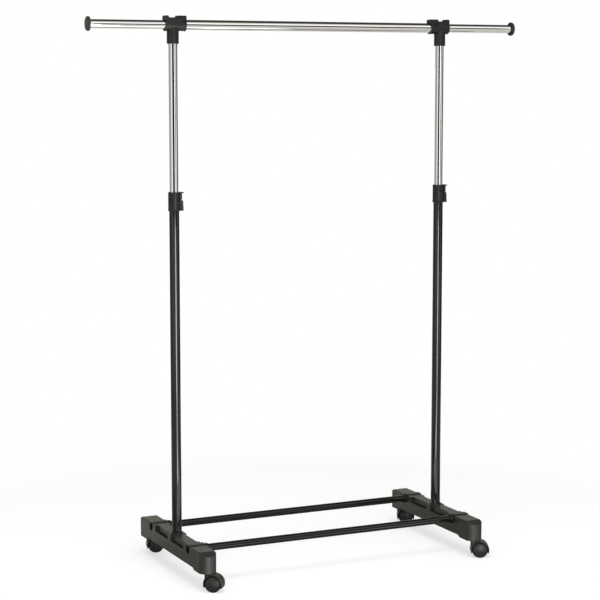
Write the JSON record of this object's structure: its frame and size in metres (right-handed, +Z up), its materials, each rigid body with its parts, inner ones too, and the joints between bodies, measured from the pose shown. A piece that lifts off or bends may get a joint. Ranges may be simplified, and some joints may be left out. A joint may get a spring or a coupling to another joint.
{
  "type": "rolling clothes rack",
  "caption": "Free-standing clothes rack on swivel casters, with telescopic posts, a chrome hanging rail, pull-out arms at its ends and moulded feet joined by rods.",
  "frame": {"origin": "middle of the rack's outline, on the floor", "axes": "+Z up; +X along the hanging rail, to the right as seen from the front; +Y to the back"},
  "size_m": [1.2104, 0.4682, 1.4145],
  "materials": {
    "chrome_tube": "polished",
    "black_tube": "gloss",
    "foot_plastic": "matte",
    "fitting_plastic": "matte",
    "cap_plastic": "satin",
    "guide_plastic": "matte",
    "caster_plastic": "satin",
    "wheel_plastic": "satin",
    "zinc_steel": "zinc"
  },
  "bodies": {
    "base": {"foot_left": "foot_plastic", "foot_right": "foot_plastic", "lower_post_left": "black_tube", "lower_post_right": "black_tube", "post_plug_left": "guide_plastic", "post_plug_right": "guide_plastic", "collar_left": "fitting_plastic", "collar_right": "fitting_plastic", "collar_bush_left": "guide_plastic", "collar_bush_right": "guide_plastic", "foot_bolts": "zinc_steel", "foot_washers": "zinc_steel", "collar_screws": "zinc_steel", "lever_pins": "zinc_steel", "lever_springs": "zinc_steel", "base_rod_front": "black_tube", "base_rod_rear": "black_tube", "rod_plugs_front": "fitting_plastic", "rod_plugs_rear": "fitting_plastic", "rod_screws": "zinc_steel", "caster_sleeves": "guide_plastic"},
    "release_left": {"release_lever_left": "fitting_plastic"},
    "release_right": {"release_lever_right": "fitting_plastic"},
    "hanging_frame": {"upper_post_left": "chrome_tube", "upper_post_right": "chrome_tube", "post_slider_left": "guide_plastic", "post_slider_right": "guide_plastic", "tee_left": "fitting_plastic", "tee_right": "fitting_plastic", "tee_screws": "zinc_steel", "hanging_rail": "chrome_tube", "rail_bush_left": "guide_plastic", "rail_bush_right": "guide_plastic"},
    "arm_left": {"arm_left": "chrome_tube", "arm_stop_left": "guide_plastic", "end_cap_left": "cap_plastic"},
    "arm_right": {"arm_right": "chrome_tube", "arm_stop_right": "guide_plastic", "end_cap_right": "cap_plastic"},
    "swivel_fl": {"caster_fl_hood": "caster_plastic", "caster_fl_stem": "zinc_steel"},
    "wheels_fl": {"caster_fl_axle": "zinc_steel", "caster_fl_wheel_a": "wheel_plastic", "caster_fl_wheel_b": "wheel_plastic"},
    "swivel_fr": {"caster_fr_hood": "caster_plastic", "caster_fr_stem": "zinc_steel"},
    "wheels_fr": {"caster_fr_axle": "zinc_steel", "caster_fr_wheel_a": "wheel_plastic", "caster_fr_wheel_b": "wheel_plastic"},
    "swivel_rl": {"caster_rl_hood": "caster_plastic", "caster_rl_stem": "zinc_steel"},
    "wheels_rl": {"caster_rl_axle": "zinc_steel", "caster_rl_wheel_a": "wheel_plastic", "caster_rl_wheel_b": "wheel_plastic"},
    "swivel_rr": {"caster_rr_hood": "caster_plastic", "caster_rr_stem": "zinc_steel"},
    "wheels_rr": {"caster_rr_axle": "zinc_steel", "caster_rr_wheel_a": "wheel_plastic", "caster_rr_wheel_b": "wheel_plastic"}
  },
  "joints": [
    {"name": "height", "type": "slide", "parent": "base", "child": "hanging_frame", "axis": [0, 0, 1], "range_m": [-0.365, 0.3]},
    {"name": "arm_left_slide", "type": "slide", "parent": "hanging_frame", "child": "arm_left", "axis": [1, 0, 0], "range_m": [0, 0.19]},
    {"name": "arm_right_slide", "type": "slide", "parent": "hanging_frame", "child": "arm_right", "axis": [-1, 0, 0], "range_m": [0, 0.19]},
    {"name": "release_left_press", "type": "hinge", "parent": "base", "child": "release_left", "pos_m": [-0.3628, 0.00914, 0.957], "axis": [0, 1, 0], "range_deg": [0, 4.5], "stiffness_Nm_per_rad": 1, "springref_deg": -5.73},
    {"name": "release_right_press", "type": "hinge", "parent": "base", "child": "release_right", "pos_m": [0.3972, 0.00914, 0.957], "axis": [0, 1, 0], "range_deg": [0, 4.5], "stiffness_Nm_per_rad": 1, "springref_deg": -5.73},
    {"name": "caster_fl_swivel", "type": "hinge", "parent": "base", "child": "swivel_fl", "pos_m": [-0.38, -0.19686, 0.046], "axis": [0, 0, 1], "continuous": true},
    {"name": "caster_fl_spin", "type": "hinge", "parent": "swivel_fl", "child": "wheels_fl", "pos_m": [-0.36698, -0.20779, 0.021], "axis": [0.6428, 0.766, 0], "continuous": true},
    {"name": "caster_fr_swivel", "type": "hinge", "parent": "base", "child": "swivel_fr", "pos_m": [0.38, -0.19686, 0.046], "axis": [0, 0, 1], "continuous": true},
    {"name": "caster_fr_spin", "type": "hinge", "parent": "swivel_fr", "child": "wheels_fr", "pos_m": [0.39541, -0.20405, 0.021], "axis": [0.4226, 0.9063, 0], "continuous": true},
    {"name": "caster_rl_swivel", "type": "hinge", "parent": "base", "child": "swivel_rl", "pos_m": [-0.38, 0.21514, 0.046], "axis": [0, 0, 1], "continuous": true},
    {"name": "caster_rl_spin", "type": "hinge", "parent": "swivel_rl", "child": "wheels_rl", "pos_m": [-0.36351, 0.21103, 0.021], "axis": [0.2419, 0.9703, 0], "continuous": true},
    {"name": "caster_rr_swivel", "type": "hinge", "parent": "base", "child": "swivel_rr", "pos_m": [0.38, 0.21514, 0.046], "axis": [0, 0, 1], "continuous": true},
    {"name": "caster_rr_spin", "type": "hinge", "parent": "swivel_rr", "child": "wheels_rr", "pos_m": [0.39541, 0.20795, 0.021], "axis": [0.4226, 0.9063, 0], "continuous": true}
  ]
}
